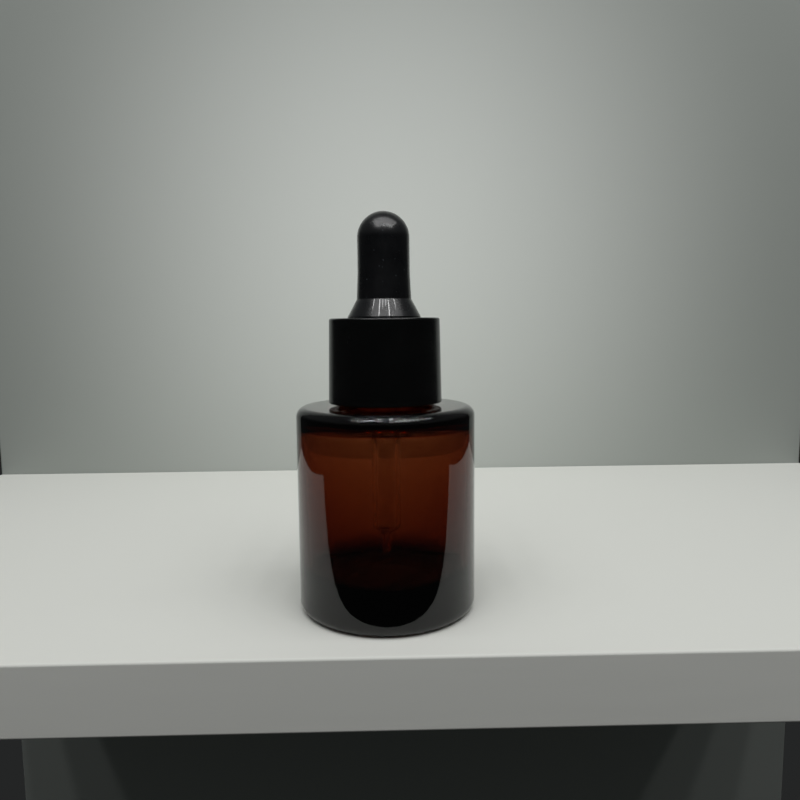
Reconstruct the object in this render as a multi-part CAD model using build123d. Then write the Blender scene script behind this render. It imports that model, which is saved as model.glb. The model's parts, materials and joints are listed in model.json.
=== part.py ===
"""Squat 30 ml dropper bottle: a flat-shouldered glass bottle and its screw-on dropper.

Millimetres, +Z up. The axis of the bottle is the Z axis, and z = 0 is the ring of glass
that the bottle stands on. All but the ribs of the inner cap is turned about that axis.

The dropper stacks up from the lip of the bottle:
    gasket       lies on the lip, round the pipette
    inner cap    its roof rests on the gasket and has a pocket for the flange of the bulb
    collar       a smooth outer sleeve, pressed over the ribs of the inner cap
    bulb         its flange is under the roof, its neck fills the holes, its skirt covers them
    pipette      pushed up through the bulb's neck until its flared head is past the neck
"""

from build123d import *
import os

# Bottle body
BODY_DIA = 40.0
BODY_HEIGHT = 46.2
SIDE_WALL = 2.35
TOP_SIDE_WALL = 1.3
THINNING_FROM = 25.0
SHOULDER_WALL = 2.6
SHOULDER_ROUND = 2.2
HEEL_ROUND = 2.4
FLOOR_HEIGHT = 7.0
INNER_FLOOR_BEVEL = 3.6
INNER_SHOULDER_BEVEL = 1.6
STANDING_RING_WIDTH = 2.2
PUSH_UP = 1.6
PUSH_UP_SLOPE = 5.0

# Bottle neck: a finish of the 20-410 kind, where the thread's crests are 19.6 mm across
NECK_HEIGHT = 14.4
NECK_WALL = 2.55
NECK_ROOT_BEVEL = 0.5
THROAT_BEVEL = 1.0
LIP_BEVEL = 0.4
THREAD_DIA = 19.6
THREAD_DEPTH = 1.05
THREAD_LENGTH = 6.8
THREAD_BELOW_LIP = 1.3
THREAD_CLEARANCE = 0.09

# Gasket
GASKET_THICK = 1.2
GASKET_EDGE_CLEARANCE = 0.2

# Inner cap, which carries the inside thread
CAP_WALL = 0.9
CAP_ROOF = 2.4
CAP_FOOT_RISE = 1.0
RIB_COUNT = 18
RIB_WIDTH = 1.2
RIB_HEIGHT = 0.3
RIB_RECESS = 0.8

# Collar, the smooth outer sleeve
COLLAR_WALL = 1.17
COLLAR_FLARE = 0.37
COLLAR_TOP_THICK = 1.4
COLLAR_EDGE_BEVEL = 0.3
COLLAR_FOOT_BEVEL = 0.2
COLLAR_FOOT_GAP = 0.7
COLLAR_FIT = 0.02
SNAP_BEAD_HEIGHT = 0.25
SNAP_BEAD_WIDTH = 0.6
SNAP_BEAD_RISE = 0.25

# Rubber bulb
BULB_DIA = 11.5
BULB_HEIGHT = 23.25
BULB_FOOT_DIA = 12.1
BULB_TAPER_LENGTH = 6.0
SKIRT_DIA = 16.2
SKIRT_HEIGHT = 4.15
SKIRT_EDGE = 0.35
RUBBER_WALL = 1.3
CROWN_WALL = 2.0
AIR_BEVEL = 2.6
BULB_NECK_WALL = 1.65
BULB_HOLE_CLEARANCE = 0.06
FLANGE_REACH = 1.45
FLANGE_THICK = 1.1
FLANGE_CLEARANCE = 0.06

# Glass pipette
TUBE_DIA = 6.5
TUBE_WALL = 1.0
TUBE_CLEARANCE = 0.05
TIP_DIA = 2.4
TIP_BORE = 1.0
TIP_LENGTH = 4.6
TIP_TAPER = 1.2
TIP_ABOVE_FLOOR = 5.2
HEAD_FLARE = 0.45
HEAD_HEIGHT = 1.3
HEAD_BEVEL = 0.25
HEAD_ROOM = 0.6
HEAD_ABOVE_COLLAR = 0.4

# Heights worked out from the stack
LIP_Z = BODY_HEIGHT + NECK_HEIGHT
GASKET_TOP_Z = LIP_Z + GASKET_THICK
ROOF_TOP_Z = GASKET_TOP_Z + CAP_ROOF
COLLAR_TOP_Z = ROOF_TOP_Z + COLLAR_TOP_THICK
COLLAR_FOOT_Z = BODY_HEIGHT + COLLAR_FOOT_GAP
CAP_FOOT_Z = COLLAR_FOOT_Z + CAP_FOOT_RISE
HEAD_SEAT_Z = COLLAR_TOP_Z + HEAD_ABOVE_COLLAR
TIP_Z = FLOOR_HEIGHT + TIP_ABOVE_FLOOR

# Widths worked out from the thread outwards
NECK_DIA = THREAD_DIA - 2 * THREAD_DEPTH
NECK_BORE = NECK_DIA - 2 * NECK_WALL
CAP_BORE_RADIUS = THREAD_DIA / 2 + THREAD_CLEARANCE
CAP_RADIUS = CAP_BORE_RADIUS + CAP_WALL
COLLAR_BORE_RADIUS = CAP_RADIUS + RIB_HEIGHT + COLLAR_FIT
COLLAR_TOP_DIA = 2 * (COLLAR_BORE_RADIUS + COLLAR_WALL)
COLLAR_FOOT_DIA = COLLAR_TOP_DIA + 2 * COLLAR_FLARE

# Widths worked out from the pipette outwards
HEAD_DIA = TUBE_DIA + 2 * HEAD_FLARE
TUBE_HOLE_RADIUS = TUBE_DIA / 2 + TUBE_CLEARANCE
BULB_NECK_DIA = 2 * (TUBE_HOLE_RADIUS + BULB_NECK_WALL)
BULB_HOLE_RADIUS = BULB_NECK_DIA / 2 + BULB_HOLE_CLEARANCE
FLANGE_DIA = BULB_NECK_DIA + 2 * FLANGE_REACH


def turned(outline):
    """Turn a closed half-outline, drawn as (radius, height), about the Z axis."""
    return revolve(Plane.XZ * make_face(outline), Axis.Z)


def bevelled(*corners):
    """A closed outline from corners given as (radius, height, bevel cut off that corner)."""
    points = [Vector(radius, height) for radius, height, _ in corners]
    outline = []
    for index, (_, _, bevel) in enumerate(corners):
        corner = points[index]
        if bevel:
            before, after = points[index - 1], points[(index + 1) % len(points)]
            outline += [corner + (end - corner).normalized() * bevel for end in (before, after)]
        else:
            outline.append(corner)
    return Polyline(*outline, close=True)


def bottle():
    """Thick-based glass bottle with a round-edged flat shoulder, a push-up and a neck."""
    body_radius = BODY_DIA / 2
    neck_radius = NECK_DIA / 2
    body = FilletPolyline(
        (0, 0),
        (body_radius, 0),
        (body_radius, BODY_HEIGHT),
        (0, BODY_HEIGHT),
        radius=[HEEL_ROUND, SHOULDER_ROUND],
    )
    neck = bevelled(
        (0, BODY_HEIGHT - SHOULDER_WALL, 0),
        (neck_radius, BODY_HEIGHT - SHOULDER_WALL, 0),
        (neck_radius, LIP_Z, LIP_BEVEL),
        (0, LIP_Z, 0),
    )
    solid = turned(body + Line((0, BODY_HEIGHT), (0, 0))) + turned(neck) + neck_root() + thread_band()
    return solid - cavity() - push_up()


def neck_root():
    """Sloped ring of glass where the neck meets the shoulder."""
    root = NECK_DIA / 2
    core = root - NECK_ROOT_BEVEL
    return turned(
        Polyline(
            (core, BODY_HEIGHT),
            (root + NECK_ROOT_BEVEL, BODY_HEIGHT),
            (root, BODY_HEIGHT + NECK_ROOT_BEVEL),
            (core, BODY_HEIGHT + NECK_ROOT_BEVEL),
            close=True,
        )
    )


def thread_band():
    """Envelope of the neck's thread: a band as wide as its crests, with sloped ends."""
    root = NECK_DIA / 2
    crest = THREAD_DIA / 2
    top = LIP_Z - THREAD_BELOW_LIP
    foot = top - THREAD_LENGTH
    core = (NECK_BORE / 2 + root) / 2
    return turned(
        Polyline(
            (core, foot),
            (root, foot),
            (crest, foot + THREAD_DEPTH),
            (crest, top - THREAD_DEPTH),
            (root, top),
            (core, top),
            close=True,
        )
    )


def cavity():
    """The space inside the bottle, whose side wall is thinner towards the shoulder, and the neck's bore."""
    inner_radius = BODY_DIA / 2 - SIDE_WALL
    top_inner_radius = BODY_DIA / 2 - TOP_SIDE_WALL
    ceiling = BODY_HEIGHT - SHOULDER_WALL
    mouth = LIP_Z - LIP_BEVEL
    return turned(
        bevelled(
            (0, FLOOR_HEIGHT, 0),
            (inner_radius, FLOOR_HEIGHT, INNER_FLOOR_BEVEL),
            (inner_radius, THINNING_FROM, 0),
            (top_inner_radius, ceiling, INNER_SHOULDER_BEVEL),
            (NECK_BORE / 2, ceiling, THROAT_BEVEL),
            (NECK_BORE / 2, mouth, 0),
            (NECK_BORE / 2 + LIP_BEVEL, LIP_Z, 0),
            (0, LIP_Z, 0),
        )
    )


def push_up():
    """The hollow under the base, inside the ring that the bottle stands on."""
    ring_radius = BODY_DIA / 2 - HEEL_ROUND - STANDING_RING_WIDTH
    return turned(
        Polyline(
            (0, 0),
            (ring_radius, 0),
            (ring_radius - PUSH_UP_SLOPE, PUSH_UP),
            (0, PUSH_UP),
            close=True,
        )
    )


def gasket():
    """Flat sealing washer on the lip, which also centres the pipette."""
    edge_radius = CAP_BORE_RADIUS - GASKET_EDGE_CLEARANCE
    return turned(
        Polyline(
            (TUBE_HOLE_RADIUS, LIP_Z),
            (edge_radius, LIP_Z),
            (edge_radius, GASKET_TOP_Z),
            (TUBE_HOLE_RADIUS, GASKET_TOP_Z),
            close=True,
        )
    )


def inner_cap():
    """Threaded liner: a sleeve round the neck, and a roof with a pocket for the bulb's flange."""
    pocket_radius = FLANGE_DIA / 2 + FLANGE_CLEARANCE
    pocket_top = GASKET_TOP_Z + FLANGE_THICK + FLANGE_CLEARANCE
    liner = Polyline(
        (CAP_BORE_RADIUS, CAP_FOOT_Z),
        (CAP_RADIUS, CAP_FOOT_Z),
        (CAP_RADIUS, ROOF_TOP_Z),
        (BULB_HOLE_RADIUS, ROOF_TOP_Z),
        (BULB_HOLE_RADIUS, pocket_top),
        (pocket_radius, pocket_top),
        (pocket_radius, GASKET_TOP_Z),
        (CAP_BORE_RADIUS, GASKET_TOP_Z),
        close=True,
    )
    return turned(liner) + torque_ribs()


def torque_ribs():
    """Upright ribs round the inner cap, which grip the bore of the collar."""
    foot = CAP_FOOT_Z + RIB_RECESS
    top = ROOF_TOP_Z - RIB_RECESS
    root = CAP_RADIUS - CAP_WALL / 2
    crest = CAP_RADIUS + RIB_HEIGHT
    sleeve = turned(Polyline((root, foot), (crest, foot), (crest, top), (root, top), close=True))
    spoke = Pos((root + crest) / 2, 0, (foot + top) / 2) * Box(crest, RIB_WIDTH, top - foot)
    spokes = [Rot(0, 0, 360 / RIB_COUNT * turn) * spoke for turn in range(RIB_COUNT)]
    return [sleeve & one for one in spokes]


def collar_shell():
    """Smooth tapered sleeve with a flat top, and a snap bead that holds the inner cap in."""
    bead_foot = COLLAR_FOOT_Z + SNAP_BEAD_RISE
    sleeve = bevelled(
        (COLLAR_BORE_RADIUS, COLLAR_FOOT_Z, 0),
        (COLLAR_FOOT_DIA / 2, COLLAR_FOOT_Z, COLLAR_FOOT_BEVEL),
        (COLLAR_TOP_DIA / 2, COLLAR_TOP_Z, COLLAR_EDGE_BEVEL),
        (BULB_HOLE_RADIUS, COLLAR_TOP_Z, 0),
        (BULB_HOLE_RADIUS, ROOF_TOP_Z, 0),
        (COLLAR_BORE_RADIUS, ROOF_TOP_Z, 0),
        (COLLAR_BORE_RADIUS, bead_foot + SNAP_BEAD_WIDTH, 0),
        (COLLAR_BORE_RADIUS - SNAP_BEAD_HEIGHT, bead_foot + SNAP_BEAD_WIDTH / 2, 0),
        (COLLAR_BORE_RADIUS, bead_foot, 0),
    )
    return turned(sleeve)


def bulb():
    """Rubber bulb: flange, neck, conical skirt and domed wall round one air space."""
    bulb_radius = BULB_DIA / 2
    bulb_top = COLLAR_TOP_Z + BULB_HEIGHT
    dome_z = bulb_top - bulb_radius
    flange_top = GASKET_TOP_Z + FLANGE_THICK
    skirt_top = COLLAR_TOP_Z + SKIRT_HEIGHT
    side = Polyline(
        (0, GASKET_TOP_Z),
        (FLANGE_DIA / 2, GASKET_TOP_Z),
        (FLANGE_DIA / 2, flange_top),
        (BULB_NECK_DIA / 2, flange_top),
        (BULB_NECK_DIA / 2, COLLAR_TOP_Z),
        (SKIRT_DIA / 2, COLLAR_TOP_Z),
        (SKIRT_DIA / 2, COLLAR_TOP_Z + SKIRT_EDGE),
        (BULB_FOOT_DIA / 2, skirt_top),
        (bulb_radius, skirt_top + BULB_TAPER_LENGTH),
        (bulb_radius, dome_z),
    )
    dome = CenterArc((0, dome_z), bulb_radius, 0, 90)
    return turned(side + dome + Line((0, bulb_top), (0, GASKET_TOP_Z))) - air_space()


def air_space():
    """The hollow of the bulb: the pipette's hole, a pocket for its head, and the air above."""
    air_radius = BULB_DIA / 2 - RUBBER_WALL
    pocket_radius = HEAD_DIA / 2 + TUBE_CLEARANCE
    pocket_top = HEAD_SEAT_Z + HEAD_HEIGHT + HEAD_ROOM
    air_top = COLLAR_TOP_Z + BULB_HEIGHT - CROWN_WALL
    return turned(
        bevelled(
            (0, GASKET_TOP_Z, 0),
            (TUBE_HOLE_RADIUS, GASKET_TOP_Z, 0),
            (TUBE_HOLE_RADIUS, HEAD_SEAT_Z, 0),
            (pocket_radius, HEAD_SEAT_Z, 0),
            (pocket_radius, pocket_top, 0),
            (air_radius, pocket_top + air_radius - pocket_radius, 0),
            (air_radius, air_top, AIR_BEVEL),
            (0, air_top, 0),
        )
    )


def pipette():
    """Glass tube, open at both ends, with a flared head and a narrow straight tip."""
    tube_radius = TUBE_DIA / 2
    tip_radius = TIP_DIA / 2
    bore_radius = tube_radius - TUBE_WALL
    tip_top = TIP_Z + TIP_LENGTH
    head_top = HEAD_SEAT_Z + HEAD_HEIGHT
    return turned(
        bevelled(
            (TIP_BORE / 2, TIP_Z, 0),
            (tip_radius, TIP_Z, (tip_radius - TIP_BORE / 2) / 2),
            (tip_radius, tip_top, 0),
            (tube_radius, tip_top + TIP_TAPER, 0),
            (tube_radius, HEAD_SEAT_Z, 0),
            (HEAD_DIA / 2, HEAD_SEAT_Z, 0),
            (HEAD_DIA / 2, head_top, HEAD_BEVEL),
            (bore_radius, head_top, HEAD_BEVEL),
            (bore_radius, tip_top + TIP_TAPER, 0),
            (TIP_BORE / 2, tip_top, 0),
        )
    )


PIECES = {
    "bottle": bottle,
    "gasket": gasket,
    "inner_cap": inner_cap,
    "collar_shell": collar_shell,
    "bulb": bulb,
    "pipette": pipette,
}

os.makedirs("parts", exist_ok=True)
for name, make in PIECES.items():
    export_step(make(), f"parts/{name}.step")
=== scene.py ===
"""Dressed model of a squat amber dropper bottle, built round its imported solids.

Metres, +Z up, with the ring that the bottle stands on at z = 0. Each piece is a half-outline
with rounded corners, turned about the Z axis.
"""

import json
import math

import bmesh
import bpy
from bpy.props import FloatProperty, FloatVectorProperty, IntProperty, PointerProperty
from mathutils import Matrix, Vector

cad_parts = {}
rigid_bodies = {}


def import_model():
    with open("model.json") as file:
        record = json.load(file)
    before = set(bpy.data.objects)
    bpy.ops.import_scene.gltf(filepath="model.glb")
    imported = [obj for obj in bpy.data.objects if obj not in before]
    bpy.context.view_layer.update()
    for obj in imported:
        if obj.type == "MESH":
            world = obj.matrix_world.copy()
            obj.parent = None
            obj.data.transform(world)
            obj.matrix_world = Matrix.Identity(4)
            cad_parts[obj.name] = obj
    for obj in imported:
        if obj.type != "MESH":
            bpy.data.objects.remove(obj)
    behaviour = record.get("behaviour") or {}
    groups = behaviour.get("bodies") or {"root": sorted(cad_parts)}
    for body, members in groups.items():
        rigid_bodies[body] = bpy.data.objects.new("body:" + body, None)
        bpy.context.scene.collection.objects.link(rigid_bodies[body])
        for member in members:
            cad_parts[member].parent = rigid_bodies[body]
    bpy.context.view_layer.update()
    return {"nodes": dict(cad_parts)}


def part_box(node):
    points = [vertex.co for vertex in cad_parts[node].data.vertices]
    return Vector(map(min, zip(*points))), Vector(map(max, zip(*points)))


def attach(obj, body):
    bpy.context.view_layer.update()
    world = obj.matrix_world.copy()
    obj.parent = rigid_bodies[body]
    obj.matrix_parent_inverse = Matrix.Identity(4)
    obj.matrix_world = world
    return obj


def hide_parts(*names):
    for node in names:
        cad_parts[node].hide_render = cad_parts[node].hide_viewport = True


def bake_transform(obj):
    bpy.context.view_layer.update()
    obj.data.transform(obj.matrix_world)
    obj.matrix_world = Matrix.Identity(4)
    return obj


bl_info = {
    "name": "Dropper Bottle",
    "version": (1, 0, 0),
    "blender": (4, 5, 0),
    "location": "3D View > Sidebar > Dropper",
    "description": "Builds a squat glass dropper bottle, its dropper and a plain stage",
    "category": "Object",
}

for leftover in list(bpy.data.objects):
    bpy.data.objects.remove(leftover)

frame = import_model()

MM = 0.001
FULL_TURN = 2 * math.pi
MERGE_DISTANCE = 0.001 * MM

# Fits that the solids share
HEAD_ABOVE_COLLAR = 0.4 * MM
TUBE_CLEARANCE = 0.05 * MM
HEAD_ROOM = 0.6 * MM
BULB_HOLE_RADIUS = 5.01 * MM
COLLAR_FIT = 0.02 * MM

# Rounds of the shelf's and wall's worn edges, and of edges that look sharp
WORN_EDGE = 0.6 * MM
SHARP_EDGE = 0.15 * MM

# Highest corner of each solid, with the lowest one where it is needed
bottle_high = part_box("bottle")[1]
liner_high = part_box("inner_cap")[1]
collar_low, collar_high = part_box("collar_shell")
bulb_low, bulb_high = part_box("bulb")
pipette_low, pipette_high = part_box("pipette")


def linear(code):
    """Turn an sRGB hex colour into the linear colour that the shaders need."""
    shares = [int(code[start : start + 2], 16) / 255 for start in (0, 2, 4)]
    return [share / 12.92 if share <= 0.04045 else ((share + 0.055) / 1.055) ** 2.4 for share in shares]


def length(name, description, millimetres):
    """A length that the user can change, with its default in millimetres."""
    return FloatProperty(
        name=name,
        description=description,
        default=millimetres * MM,
        min=0.0,
        precision=5,
        unit="LENGTH",
    )


def colour(name, description, code):
    """A colour that the user can change, with its default as sRGB hex."""
    return FloatVectorProperty(
        name=name, description=description, default=linear(code), min=0.0, max=1.0, subtype="COLOR"
    )


class BottleSettings(bpy.types.PropertyGroup):
    """Sizes and colour of the glass bottle."""

    body_height: length("Body height", "From the foot to the flat shoulder", 46.2)
    side_wall: length("Side wall", "Glass thickness low on the side", 2.35)
    top_side_wall: length("Top side wall", "Glass thickness of the side under the shoulder", 1.3)
    shoulder_wall: length("Shoulder wall", "Glass thickness under the flat shoulder", 2.6)
    floor_height: length("Floor height", "From the foot to the inside floor", 7.0)
    shoulder_round: length("Shoulder round", "Radius of the edge of the shoulder", 2.2)
    heel_round: length("Heel round", "Radius of the bottom edge", 2.4)
    inner_floor_round: length("Inner floor round", "Radius inside, where the wall meets the floor", 5.0)
    inner_shoulder_round: length("Inner shoulder round", "Radius inside, under the shoulder", 3.0)
    ring_width: length("Standing ring width", "Width of the ring that touches the shelf", 2.2)
    push_up: length("Push-up", "Height of the hollow under the base", 1.6)
    neck_diameter: length("Neck diameter", "Across the neck, between the threads", 17.5)
    neck_bore: length("Neck bore", "Across the hole in the neck", 12.4)
    thread_depth: length("Thread depth", "How far the thread stands out from the neck", 1.05)
    thread_pitch: length("Thread pitch", "Rise of the thread in one turn", 3.175)
    thread_foot: length("Thread foot", "Lowest edge of the thread, below the lip", 8.1)
    thread_turns: FloatProperty(
        name="Thread turns", description="Number of turns of the thread", default=1.5, min=0.25
    )
    glass: colour("Glass", "Colour that the light keeps on its way through the glass", "CB8F06")
    glass_depth: FloatProperty(
        name="Glass depth",
        description="How much light the glass takes, for each metre",
        default=1600.0,
        min=0.0,
    )


class DropperSettings(bpy.types.PropertyGroup):
    """Sizes and colours of the collar, the bulb and the pipette."""

    collar_diameter: length("Collar diameter", "Across the foot of the collar", 25.3)
    collar_draft: length("Collar draft", "How much wider in radius the foot of the collar is", 0.37)
    collar_edge: length("Collar edge", "Radius of the collar's top edge", 0.45)
    bulb_diameter: length("Bulb diameter", "Across the bulb, under its dome", 11.5)
    bulb_foot: length("Bulb foot", "Across the bulb, where it meets the skirt", 12.1)
    bulb_taper: length("Bulb taper", "Height over which the foot narrows to the bulb", 6.0)
    skirt_height: length("Skirt height", "Height of the cone at the foot of the bulb", 4.15)
    skirt_edge: length("Skirt edge", "Height of the upright edge of the skirt", 0.35)
    rubber_wall: length("Rubber wall", "Thickness of the bulb's side", 1.3)
    tube_diameter: length("Tube diameter", "Across the glass tube", 6.5)
    tube_wall: length("Tube wall", "Glass thickness of the tube", 1.0)
    tip_diameter: length("Tip diameter", "Across the narrow tip", 2.4)
    tip_bore: length("Tip bore", "Across the hole in the tip", 1.0)
    tip_length: length("Tip length", "Length of the narrow tip", 4.6)
    tip_taper: length("Tip taper", "Height over which the tube narrows to the tip", 1.2)
    rubber: colour("Rubber", "Colour of the bulb", "0A0B0E")
    dust: colour("Dust", "Colour of the specks of dust on the bulb", "9AA3AB")
    collar: colour("Collar", "Colour of the collar", "060707")


class StageSettings(bpy.types.PropertyGroup):
    """Sizes and colours of the shelf and the wall, with the painted pool of light and shade on the wall, and
    the strength of the light.
    """

    shelf_front: length("Shelf front", "From the bottle's axis to the front edge of the shelf", 27.0)
    shelf_back: length("Shelf back", "From the bottle's axis to the wall", 151.0)
    shelf_thickness: length("Shelf thickness", "Height of the shelf's front edge", 15.5)
    shelf_left: length("Shelf left", "From the bottle's axis to the left end of the shelf", 170.0)
    shelf_right: length("Shelf right", "From the bottle's axis to the right end of the shelf", 187.0)
    wall_height: length("Wall height", "Height of the wall above the shelf", 330.0)
    # The wall's colour turns from the wall colour in its middle to the wall shade further out: a painted
    # pool of light with painted shade around it.
    painted_pool_height: length("Pool height", "Height of the middle of the light patch on the wall", 105.0)
    painted_pool_radius: length("Pool radius", "Radius at which the light patch on the wall ends", 190.0)
    shelf: colour("Shelf", "Colour of the shelf", "E6E7E1")
    wall: colour("Wall", "Colour of the middle of the wall", "F0F4EF")
    # Painted shade: the darker colour that the wall's paint turns to away from the painted pool of light.
    wall_painted_shade: colour("Wall shade", "Colour of the far parts of the wall", "9CA19C")
    room: colour("Room", "Colour of the dim lower part of the room", "242525")
    ceiling: colour("Ceiling", "Colour of the upper part of the room", "5A5C5C")
    light_power: FloatProperty(
        name="Light power",
        description="Power of all the ceiling lamps together",
        default=6.1,
        min=0.0,
        unit="POWER",
    )
    turn_steps: IntProperty(
        name="Turn steps", description="Number of steps in the turn of each piece", default=192, min=24
    )


def ramp(share):
    """Rise smoothly from 0 to 1 while share goes from 0 to 1."""
    share = min(max(share, 0.0), 1.0)
    return share * share * (3 - 2 * share)


def draw_outline(mesh, corners, closed, segments=10):
    """Draw a half-outline in the XZ plane and round its corners; a corner is (radius, height, round)."""
    points = [mesh.verts.new((radius, 0, height)) for radius, height, _ in corners]
    for first, second in zip(points, points[1:]):
        mesh.edges.new((first, second))
    if closed:
        mesh.edges.new((points[-1], points[0]))
    places = [point.co.copy() for point in points]
    for index, (_, _, corner_round) in enumerate(corners):
        if not corner_round:
            continue
        arriving = places[index] - places[index - 1]
        leaving = places[(index + 1) % len(places)] - places[index]
        bmesh.ops.bevel(
            mesh,
            geom=[points[index]],
            offset=corner_round * math.tan(arriving.angle(leaving) / 2),
            offset_type="OFFSET",
            segments=segments,
            profile=0.5,
            affect="VERTICES",
            material=-1,
            clamp_overlap=True,
        )


def turn_outline(mesh, steps):
    """Turn everything in the mesh once about the Z axis, and close its seam and poles."""
    bmesh.ops.spin(
        mesh,
        geom=mesh.verts[:] + mesh.edges[:],
        cent=(0, 0, 0),
        axis=(0, 0, 1),
        angle=FULL_TURN,
        steps=steps,
        use_merge=True,
        use_duplicate=False,
    )
    bmesh.ops.remove_doubles(mesh, verts=mesh.verts, dist=MERGE_DISTANCE)
    bmesh.ops.recalc_face_normals(mesh, faces=mesh.faces)


def make_piece(mesh, name, material):
    """Put a finished mesh into the scene as a smooth piece with one material."""
    if name in bpy.data.objects:
        raise RuntimeError(f"{name} is already in the scene")
    for face in mesh.faces:
        face.smooth = True
    data = bpy.data.meshes.new(name)
    mesh.to_mesh(data)
    mesh.free()
    data.materials.append(material)
    piece = bpy.data.objects.new(name, data)
    bpy.context.scene.collection.objects.link(piece)
    return piece


def keep_flats_flat(piece):
    """Let the large flat faces lead the shading, so that only the rounded edges look round."""
    weighting = piece.modifiers.new("flat_faces", "WEIGHTED_NORMAL")
    weighting.mode = "FACE_AREA"
    weighting.weight = 50
    weighting.keep_sharp = False
    return piece


def add_node(tree, kind, inputs=None, **settings):
    """Add a node with its settings, and give each input a value or a link from a socket."""
    node = tree.nodes.new(kind)
    for name, value in settings.items():
        setattr(node, name, value)
    for name, value in (inputs or {}).items():
        if isinstance(value, bpy.types.NodeSocket):
            tree.links.new(value, node.inputs[name])
        else:
            node.inputs[name].default_value = value
    return node


def new_material(name):
    """An empty node material and its tree."""
    material = bpy.data.materials.new(name)
    material.use_nodes = True
    material.node_tree.nodes.clear()
    return material, material.node_tree


def opaque(rgb):
    """A colour with full alpha, as a colour socket takes it."""
    return (*rgb, 1.0)


def amber_glass(settings):
    """Moulded soda-lime glass, coloured right through."""
    # The mould leaves the surface a little wavy, so reflections bend, and thick glass looks darker.
    material, tree = new_material("moulded_amber_glass")
    place = add_node(tree, "ShaderNodeTexCoord").outputs["Object"]
    wave_spacing = 9.0 * MM
    waves = add_node(tree, "ShaderNodeTexNoise", {"Vector": place, "Scale": 1 / wave_spacing, "Detail": 1.0})
    wavy = add_node(
        tree, "ShaderNodeBump", {"Height": waves.outputs["Fac"], "Strength": 0.25, "Distance": 0.06 * MM}
    )
    glass = add_node(
        tree,
        "ShaderNodeBsdfPrincipled",
        {
            "Base Color": opaque((1.0, 1.0, 1.0)),
            "Roughness": 0.012,
            "IOR": 1.52,
            "Transmission Weight": 1.0,
            "Normal": wavy.outputs["Normal"],
        },
    )
    tint = add_node(
        tree,
        "ShaderNodeVolumeAbsorption",
        {"Color": opaque(settings.glass), "Density": settings.glass_depth},
    )
    add_node(
        tree,
        "ShaderNodeOutputMaterial",
        {"Surface": glass.outputs["BSDF"], "Volume": tint.outputs["Volume"]},
    )
    return material


def clear_glass():
    """Drawn borosilicate tube."""
    # Drawing leaves faint lines along the tube, which break its reflections up lengthways.
    material, tree = new_material("drawn_clear_glass")
    place = add_node(tree, "ShaderNodeTexCoord").outputs["Object"]
    along = add_node(tree, "ShaderNodeMapping", {"Vector": place, "Scale": (1.0, 1.0, 0.02)})
    line_spacing = 1.2 * MM
    lines = add_node(
        tree,
        "ShaderNodeTexNoise",
        {"Vector": along.outputs["Vector"], "Scale": 1 / line_spacing, "Detail": 2.0},
    )
    drawn = add_node(
        tree, "ShaderNodeBump", {"Height": lines.outputs["Fac"], "Strength": 0.2, "Distance": 0.01 * MM}
    )
    glass = add_node(
        tree,
        "ShaderNodeBsdfPrincipled",
        {
            "Base Color": opaque((1.0, 1.0, 1.0)),
            "Roughness": 0.01,
            "IOR": 1.47,
            "Transmission Weight": 1.0,
            "Normal": drawn.outputs["Normal"],
        },
    )
    tint = add_node(
        tree, "ShaderNodeVolumeAbsorption", {"Color": opaque(linear("EAF6EE")), "Density": 25.0}
    )
    add_node(
        tree,
        "ShaderNodeOutputMaterial",
        {"Surface": glass.outputs["BSDF"], "Volume": tint.outputs["Volume"]},
    )
    return material


def dusty_rubber(settings):
    """Moulded nitrile rubber with a satin skin."""
    # Handling polishes it in patches, and its static holds specks of pale dust.
    material, tree = new_material("moulded_black_rubber")
    place = add_node(tree, "ShaderNodeTexCoord").outputs["Object"]
    patch_size = 4.0 * MM
    patches = add_node(
        tree,
        "ShaderNodeTexNoise",
        {"Vector": place, "Scale": 1 / patch_size, "Detail": 4.0, "Roughness": 0.6},
    )
    gloss = add_node(
        tree,
        "ShaderNodeMapRange",
        {"Value": patches.outputs["Fac"], "From Min": 0.3, "From Max": 0.7, "To Min": 0.24, "To Max": 0.36},
    )
    speck_spacing = 0.9 * MM
    specks = add_node(
        tree, "ShaderNodeTexVoronoi", {"Vector": place, "Scale": 1 / speck_spacing, "Randomness": 1.0}
    )
    # Real specks are finer; these are 0.1 to 0.2 mm across so that they show.
    near = add_node(
        tree,
        "ShaderNodeMapRange",
        {
            "Value": specks.outputs["Distance"],
            "From Min": 0.05,
            "From Max": 0.13,
            "To Min": 1.0,
            "To Max": 0.0,
        },
    )
    chance = add_node(tree, "ShaderNodeSeparateColor", {"Color": specks.outputs["Color"]})
    picked = add_node(
        tree,
        "ShaderNodeMapRange",
        {"Value": chance.outputs["Red"], "From Min": 0.55, "From Max": 1.0, "To Min": 0.0, "To Max": 0.55},
    )
    dust = add_node(
        tree,
        "ShaderNodeMath",
        {0: near.outputs["Result"], 1: picked.outputs["Result"]},
        operation="MULTIPLY",
    )
    skin = add_node(
        tree,
        "ShaderNodeMix",
        {0: dust.outputs["Value"], 6: opaque(settings.rubber), 7: opaque(settings.dust)},
        data_type="RGBA",
    )
    grain_size = 0.16 * MM
    grain = add_node(
        tree, "ShaderNodeTexNoise", {"Vector": place, "Scale": 1 / grain_size, "Detail": 2.0}
    )
    rough = add_node(
        tree, "ShaderNodeBump", {"Height": grain.outputs["Fac"], "Strength": 0.12, "Distance": 0.02 * MM}
    )
    rubber = add_node(
        tree,
        "ShaderNodeBsdfPrincipled",
        {
            "Base Color": skin.outputs[2],
            "Roughness": gloss.outputs["Result"],
            "IOR": 1.5,
            "Coat Weight": 0.35,
            "Coat Roughness": 0.03,
            "Normal": rough.outputs["Normal"],
        },
    )
    add_node(tree, "ShaderNodeOutputMaterial", {"Surface": rubber.outputs["BSDF"]})
    return material


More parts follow.
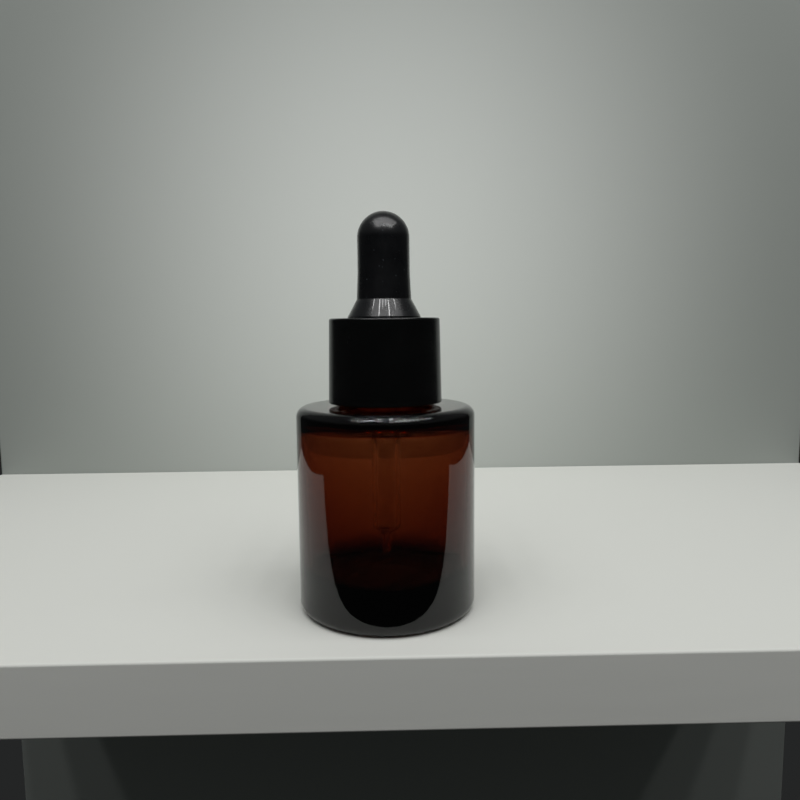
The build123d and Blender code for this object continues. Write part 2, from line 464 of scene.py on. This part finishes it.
def moulded_plastic(name, rgb, roughness, grain_depth):
    """Injection-moulded plastic: phenolic for the collar, polypropylene or polyethylene inside."""
    # The gloss is even, with a faint flow mottle that keeps it from looking like a mirror.
    material, tree = new_material(name)
    place = add_node(tree, "ShaderNodeTexCoord").outputs["Object"]
    flow_size = 6.0 * MM
    flow = add_node(
        tree, "ShaderNodeTexNoise", {"Vector": place, "Scale": 1 / flow_size, "Detail": 3.0}
    )
    gloss = add_node(
        tree,
        "ShaderNodeMapRange",
        {
            "Value": flow.outputs["Fac"],
            "From Min": 0.3,
            "From Max": 0.7,
            "To Min": roughness * 0.85,
            "To Max": roughness * 1.15,
        },
    )
    grain_size = 0.25 * MM
    grain = add_node(
        tree, "ShaderNodeTexNoise", {"Vector": place, "Scale": 1 / grain_size, "Detail": 2.0}
    )
    rough = add_node(
        tree, "ShaderNodeBump", {"Height": grain.outputs["Fac"], "Strength": 0.1, "Distance": grain_depth}
    )
    plastic = add_node(
        tree,
        "ShaderNodeBsdfPrincipled",
        {
            "Base Color": opaque(rgb),
            "Roughness": gloss.outputs["Result"],
            "IOR": 1.5,
            "Normal": rough.outputs["Normal"],
        },
    )
    add_node(tree, "ShaderNodeOutputMaterial", {"Surface": plastic.outputs["BSDF"]})
    return material


def matt_paint(name, rgb, streak_size, shade=None, middle=(0, 0, 0), reach=1.0):
    """Brushed matt paint for the shelf and the wall; on the wall its colour turns outwards to a darker
    painted shade, a painted pool of light.
    """
    # The brush leaves faint streaks along the shelf.
    material, tree = new_material(name)
    place = add_node(tree, "ShaderNodeTexCoord").outputs["Object"]
    paint_and_painted_light = opaque(rgb)
    # Painted light: outwards from the middle the colour turns to the painted shade, so the wall shows a
    # painted pool of light.
    if shade:
        distance = add_node(tree, "ShaderNodeVectorMath", {0: place, 1: middle}, operation="DISTANCE")
        outwards = add_node(
            tree,
            "ShaderNodeMapRange",
            {"Value": distance.outputs["Value"], "From Min": 0.0, "From Max": reach},
            interpolation_type="SMOOTHSTEP",
        )
        paint_and_painted_light = add_node(
            tree,
            "ShaderNodeMix",
            {0: outwards.outputs["Result"], 6: opaque(rgb), 7: opaque(shade)},
            data_type="RGBA",
        ).outputs[2]
    along = add_node(tree, "ShaderNodeMapping", {"Vector": place, "Scale": (0.15, 1.0, 1.0)})
    streaks = add_node(
        tree,
        "ShaderNodeTexNoise",
        {"Vector": along.outputs["Vector"], "Scale": 1 / streak_size, "Detail": 5.0},
    )
    brushed = add_node(
        tree, "ShaderNodeBump", {"Height": streaks.outputs["Fac"], "Strength": 0.3, "Distance": 0.1 * MM}
    )
    paint = add_node(
        tree,
        "ShaderNodeBsdfPrincipled",
        {"Base Color": paint_and_painted_light, "Roughness": 0.75, "Normal": brushed.outputs["Normal"]},
    )
    add_node(tree, "ShaderNodeOutputMaterial", {"Surface": paint.outputs["BSDF"]})
    return material


def raise_thread(mesh, settings, lip_height):
    """Push the wall of the neck outwards along a right-handed helix, to make its thread."""
    neck_radius = settings.neck_diameter / 2
    crest_half = 0.35 * MM
    foot_half = 1.0 * MM
    fade_turns = 0.12
    start = lip_height - settings.thread_foot + foot_half
    rise = settings.thread_pitch
    for vert in mesh.verts:
        radius = math.hypot(vert.co.x, vert.co.y)
        if abs(radius - neck_radius) > MERGE_DISTANCE:
            continue
        first_turn = math.atan2(vert.co.y, vert.co.x) % FULL_TURN / FULL_TURN
        height = 0.0
        for whole_turns in range(math.ceil(settings.thread_turns)):
            turned = first_turn + whole_turns
            off_centre = abs(vert.co.z - start - rise * turned)
            ridge = ramp((foot_half - off_centre) / (foot_half - crest_half))
            fade = ramp(min(turned, settings.thread_turns - turned) / fade_turns)
            height = max(height, settings.thread_depth * ridge * fade)
        vert.co.x *= (radius + height) / radius
        vert.co.y *= (radius + height) / radius


class DROPPER_OT_bottle(bpy.types.Operator):
    """Build the glass bottle with its thick base, flat shoulder and threaded neck"""

    bl_idname = "dropper.bottle"
    bl_label = "Bottle"

    def execute(self, context):
        settings = context.scene.bottle_settings
        outside = bottle_high.x
        lip_height = bottle_high.z
        inside = outside - settings.side_wall
        neck = settings.neck_diameter / 2
        bore = settings.neck_bore / 2
        ceiling = settings.body_height - settings.shoulder_wall
        ring_inside = outside - settings.heel_round - settings.ring_width
        hollow_width = 5.0 * MM
        hollow_round = 6.0 * MM
        ring_round = 1.0 * MM
        neck_root_round = 0.9 * MM
        lip_round = 0.6 * MM
        throat_round = 1.4 * MM
        thread_rows = 110
        mesh = bmesh.new()
        draw_outline(
            mesh,
            [
                (0, settings.push_up, 0),
                (ring_inside - hollow_width, settings.push_up, hollow_round),
                (ring_inside, 0, ring_round),
                (outside, 0, settings.heel_round),
                (outside, settings.body_height, settings.shoulder_round),
                (neck, settings.body_height, neck_root_round),
                (neck, lip_height, lip_round),
                (bore, lip_height, lip_round),
                (bore, ceiling, throat_round),
                (outside - settings.top_side_wall, ceiling, settings.inner_shoulder_round),
                (inside, settings.floor_height, settings.inner_floor_round),
                (0, settings.floor_height, 0),
            ],
            closed=False,
            segments=14,
        )
        neck_wall = [
            edge
            for edge in mesh.edges
            if all(abs(vert.co.x - neck) < MERGE_DISTANCE for vert in edge.verts)
        ]
        bmesh.ops.subdivide_edges(mesh, edges=neck_wall, cuts=thread_rows)
        turn_outline(mesh, context.scene.stage_settings.turn_steps)
        raise_thread(mesh, settings, lip_height)
        bottle = keep_flats_flat(make_piece(mesh, "amber_bottle", amber_glass(settings)))
        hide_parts("bottle")
        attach(bottle, "bottle")
        return {"FINISHED"}


class DROPPER_OT_pipette(bpy.types.Operator):
    """Build the clear glass tube with its flared head and narrow tip"""

    bl_idname = "dropper.pipette"
    bl_label = "Pipette"

    def execute(self, context):
        settings = context.scene.dropper_settings
        tube = settings.tube_diameter / 2
        tube_bore = tube - settings.tube_wall
        tip = settings.tip_diameter / 2
        tip_bore = settings.tip_bore / 2
        tip_foot = pipette_low.z
        tip_top = tip_foot + settings.tip_length
        tube_foot = tip_top + settings.tip_taper
        head = pipette_high.x
        head_seat = collar_high.z + HEAD_ABOVE_COLLAR
        end_round = 0.2 * MM
        end_edge_round = 0.35 * MM
        tip_round = 0.9 * MM
        tube_foot_round = 1.1 * MM
        head_foot_round = 0.1 * MM
        head_round = 0.4 * MM
        mesh = bmesh.new()
        draw_outline(
            mesh,
            [
                (tip_bore, tip_foot, end_round),
                (tip, tip_foot, end_edge_round),
                (tip, tip_top, tip_round),
                (tube, tube_foot, tube_foot_round),
                (tube, head_seat, head_foot_round),
                (head, head_seat, head_foot_round),
                (head, pipette_high.z, head_round),
                (tube_bore, pipette_high.z, head_round),
                (tube_bore, tube_foot, tube_foot_round),
                (tip_bore, tip_top, tip_round),
            ],
            closed=True,
        )
        turn_outline(mesh, context.scene.stage_settings.turn_steps // 2)
        pipette = keep_flats_flat(make_piece(mesh, "glass_pipette", clear_glass()))
        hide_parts("pipette")
        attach(pipette, "dropper")
        return {"FINISHED"}


class DROPPER_OT_bulb(bpy.types.Operator):
    """Build the rubber bulb with its dome, conical skirt, neck and hidden flange"""

    bl_idname = "dropper.bulb"
    bl_label = "Bulb"

    def execute(self, context):
        settings = context.scene.dropper_settings
        bulb = settings.bulb_diameter / 2
        air = bulb - settings.rubber_wall
        skirt_foot = collar_high.z
        skirt_top = skirt_foot + settings.skirt_height
        head_seat = skirt_foot + HEAD_ABOVE_COLLAR
        pocket = pipette_high.x + TUBE_CLEARANCE
        pocket_top = pipette_high.z + HEAD_ROOM
        hole = settings.tube_diameter / 2 + TUBE_CLEARANCE
        flange = 6.4 * MM
        flange_top = bulb_low.z + 1.1 * MM
        neck = 4.95 * MM
        crown_wall = 2.0 * MM
        air_round = 3.6 * MM
        taper_round = 60.0 * MM
        # A whole radius would use up the edge between the dome's arc and its pole.
        dome_round = bulb * 0.999
        pocket_round = 0.2 * MM
        air_foot_round = 0.3 * MM
        neck_round = 0.1 * MM
        skirt_foot_round = 0.08 * MM
        skirt_edge_round = 0.12 * MM
        skirt_top_round = 0.5 * MM
        mesh = bmesh.new()
        draw_outline(
            mesh,
            [
                (0, bulb_high.z - crown_wall, 0),
                (air, bulb_high.z - crown_wall, air_round),
                (air, pocket_top + air - pocket, air_foot_round),
                (pocket, pocket_top, pocket_round),
                (pocket, head_seat, 0),
                (hole, head_seat, 0),
                (hole, bulb_low.z, 0),
                (flange, bulb_low.z, SHARP_EDGE),
                (flange, flange_top, SHARP_EDGE),
                (neck, flange_top, SHARP_EDGE),
                (neck, skirt_foot, neck_round),
                (bulb_high.x, skirt_foot, skirt_foot_round),
                (bulb_high.x, skirt_foot + settings.skirt_edge, skirt_edge_round),
                (settings.bulb_foot / 2, skirt_top, skirt_top_round),
                (bulb, skirt_top + settings.bulb_taper, taper_round),
                (bulb, bulb_high.z, dome_round),
                (0, bulb_high.z, 0),
            ],
            closed=False,
            segments=24,
        )
        turn_outline(mesh, context.scene.stage_settings.turn_steps)
        piece = keep_flats_flat(make_piece(mesh, "rubber_bulb", dusty_rubber(settings)))
        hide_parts("bulb")
        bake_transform(piece)
        return {"FINISHED"}


class DROPPER_OT_collar(bpy.types.Operator):
    """Build the smooth outer collar, and finish the threaded liner and the gasket inside it"""

    bl_idname = "dropper.collar"
    bl_label = "Collar"

    def execute(self, context):
        settings = context.scene.dropper_settings
        foot_radius = settings.collar_diameter / 2
        top_radius = foot_radius - settings.collar_draft
        bore = liner_high.x + COLLAR_FIT
        bead_height = 0.25 * MM
        bead_middle = collar_low.z + 0.55 * MM
        bead_half = 0.3 * MM
        foot_round = 0.3 * MM
        mesh = bmesh.new()
        draw_outline(
            mesh,
            [
                (bore, collar_low.z, SHARP_EDGE),
                (foot_radius, collar_low.z, foot_round),
                (top_radius, collar_high.z, settings.collar_edge),
                (BULB_HOLE_RADIUS, collar_high.z, SHARP_EDGE),
                (BULB_HOLE_RADIUS, liner_high.z, 0),
                (bore, liner_high.z, 0),
                (bore, bead_middle + bead_half, 0),
                (bore - bead_height, bead_middle, SHARP_EDGE),
                (bore, bead_middle - bead_half, 0),
            ],
            closed=True,
        )
        turn_outline(mesh, context.scene.stage_settings.turn_steps)
        plastic = moulded_plastic("moulded_black_phenolic", settings.collar, 0.24, 0.01 * MM)
        collar = keep_flats_flat(make_piece(mesh, "outer_collar", plastic))
        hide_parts("collar_shell")
        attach(collar, "closure")
        inside = {
            "inner_cap": moulded_plastic("moulded_black_polypropylene", linear("232426"), 0.45, 0.02 * MM),
            "gasket": moulded_plastic("pressed_white_polyethylene", linear("E2E1DB"), 0.55, 0.03 * MM),
        }
        for name, material in inside.items():
            data = frame["nodes"][name].data
            data.materials.clear()
            data.materials.append(material)
        return {"FINISHED"}


def add_slab(name, low, high, material):
    """A box with slightly worn edges, from its lowest to its highest corner."""
    mesh = bmesh.new()
    size = [top - bottom for bottom, top in zip(low, high)]
    middle = [(top + bottom) / 2 for bottom, top in zip(low, high)]
    place = Matrix.Translation(middle) @ Matrix.Diagonal((*size, 1.0))
    bmesh.ops.create_cube(mesh, size=1.0, matrix=place)
    bmesh.ops.bevel(
        mesh,
        geom=mesh.edges[:],
        offset=WORN_EDGE,
        offset_type="OFFSET",
        segments=3,
        profile=0.5,
        affect="EDGES",
        material=-1,
    )
    slab = keep_flats_flat(make_piece(mesh, name, material))
    return slab


def add_ceiling_lamps(total_power):
    """Rows of small round lamps high in front of the shelf, tilted towards the wall."""
    columns, rows = 9, 6
    spacing = 0.12
    lamp_diameter = 0.034
    middle = Vector((0.06, -0.35, 0.75))
    tilt = math.radians(30)
    light = bpy.data.lights.new("ceiling_lamp", "AREA")
    light.shape = "DISK"
    light.size = lamp_diameter
    light.energy = total_power / (columns * rows)
    for column in range(columns):
        for row in range(rows):
            across = (column - (columns - 1) / 2) * spacing
            along = (row - (rows - 1) / 2) * spacing
            lamp = bpy.data.objects.new(f"ceiling_lamp_{column}_{row}", light)
            place = middle + Vector((across, along, 0))
            lamp.matrix_world = Matrix.Translation(place) @ Matrix.Rotation(tilt, 4, "X")
            bpy.context.scene.collection.objects.link(lamp)


class DROPPER_OT_stage(bpy.types.Operator):
    """Set up the shelf, the wall, the light and the camera"""

    bl_idname = "dropper.stage"
    bl_label = "Stage"

    def execute(self, context):
        settings = context.scene.stage_settings
        wall_thickness = 20.0 * MM
        # Faces in the same place break the path of light through glass, so the shelf lies a hair lower.
        shelf_top = -0.03 * MM
        shelf_paint = matt_paint("brushed_white_paint", settings.shelf, 3.0 * MM)
        # The wall's paint carries a painted pool of light round its middle, fading to painted shade towards
        # its far parts.
        wall_paint_with_painted_light = matt_paint(
            "rolled_grey_paint_with_painted_light_pool",
            settings.wall,
            8.0 * MM,
            shade=settings.wall_painted_shade,
            middle=(0, settings.shelf_back, settings.painted_pool_height),
            reach=settings.painted_pool_radius,
        )
        add_slab(
            "shelf",
            (-settings.shelf_left, -settings.shelf_front, shelf_top - settings.shelf_thickness),
            (settings.shelf_right, settings.shelf_back, shelf_top),
            shelf_paint,
        )
        add_slab(
            "wall",
            (-settings.shelf_left, settings.shelf_back, -settings.wall_height),
            (settings.shelf_right, settings.shelf_back + wall_thickness, settings.wall_height),
            wall_paint_with_painted_light,
        )
        add_ceiling_lamps(settings.light_power)
        self.add_room(context, settings)
        self.add_camera(context)
        context.scene.view_settings.view_transform = "Standard"
        return {"FINISHED"}

    def add_room(self, context, settings):
        """A room that is dim below the camera and lighter towards its ceiling."""
        world = bpy.data.worlds.new("dim_room")
        world.use_nodes = True
        tree = world.node_tree
        tree.nodes.clear()
        direction = add_node(tree, "ShaderNodeTexCoord").outputs["Generated"]
        parts = add_node(tree, "ShaderNodeSeparateXYZ", {"Vector": direction})
        upwards = add_node(
            tree,
            "ShaderNodeMapRange",
            {"Value": parts.outputs["Z"], "From Min": 0.05, "From Max": 0.5},
            interpolation_type="SMOOTHSTEP",
        )
        tone = add_node(
            tree,
            "ShaderNodeMix",
            {0: upwards.outputs["Result"], 6: opaque(settings.room), 7: opaque(settings.ceiling)},
            data_type="RGBA",
        )
        room = add_node(tree, "ShaderNodeBackground", {"Color": tone.outputs[2], "Strength": 1.0})
        add_node(tree, "ShaderNodeOutputWorld", {"Surface": room.outputs["Background"]})
        context.scene.world = world

    def add_camera(self, context):
        """A camera at the photograph's place and angle."""
        distance = 156.63 * MM
        height = 64.31 * MM
        pitch, yaw, roll = 0.1085, 0.0211, 0.0103
        data = bpy.data.cameras.new("camera")
        data.lens = 31.47
        data.sensor_width = 36.0
        data.clip_start = 10.0 * MM
        camera = bpy.data.objects.new("camera", data)
        camera.matrix_world = (
            Matrix.Translation((0, -distance, height))
            @ Matrix.Rotation(-yaw, 4, "Z")
            @ Matrix.Rotation(math.pi / 2 - pitch, 4, "X")
            @ Matrix.Rotation(-roll, 4, "Z")
        )
        context.scene.collection.objects.link(camera)
        context.scene.camera = camera


class DROPPER_PT_panel(bpy.types.Panel):
    """Buttons and sizes in the 3D view's sidebar"""

    bl_label = "Dropper Bottle"
    bl_idname = "DROPPER_PT_panel"
    bl_space_type = "VIEW_3D"
    bl_region_type = "UI"
    bl_category = "Dropper"

    def draw(self, context):
        scene = context.scene
        for operator in OPERATORS:
            self.layout.operator(operator.bl_idname)
        for settings in (scene.bottle_settings, scene.dropper_settings, scene.stage_settings):
            box = self.layout.box()
            for name in settings.__annotations__:
                box.prop(settings, name)


OPERATORS = (DROPPER_OT_bottle, DROPPER_OT_pipette, DROPPER_OT_bulb, DROPPER_OT_collar, DROPPER_OT_stage)
CLASSES = (BottleSettings, DropperSettings, StageSettings, *OPERATORS, DROPPER_PT_panel)


def register():
    """Register the classes and hang their settings on the scene."""
    for each in CLASSES:
        bpy.utils.register_class(each)
    bpy.types.Scene.bottle_settings = PointerProperty(type=BottleSettings)
    bpy.types.Scene.dropper_settings = PointerProperty(type=DropperSettings)
    bpy.types.Scene.stage_settings = PointerProperty(type=StageSettings)


def unregister():
    """Take the settings and the classes away again."""
    del bpy.types.Scene.stage_settings
    del bpy.types.Scene.dropper_settings
    del bpy.types.Scene.bottle_settings
    for each in reversed(CLASSES):
        bpy.utils.unregister_class(each)


def main():
    register()
    bpy.ops.dropper.stage()
    bpy.ops.dropper.bottle()
    bpy.ops.dropper.pipette()
    bpy.ops.dropper.bulb()
    bpy.ops.dropper.collar()


if __name__ == "__main__":
    main()
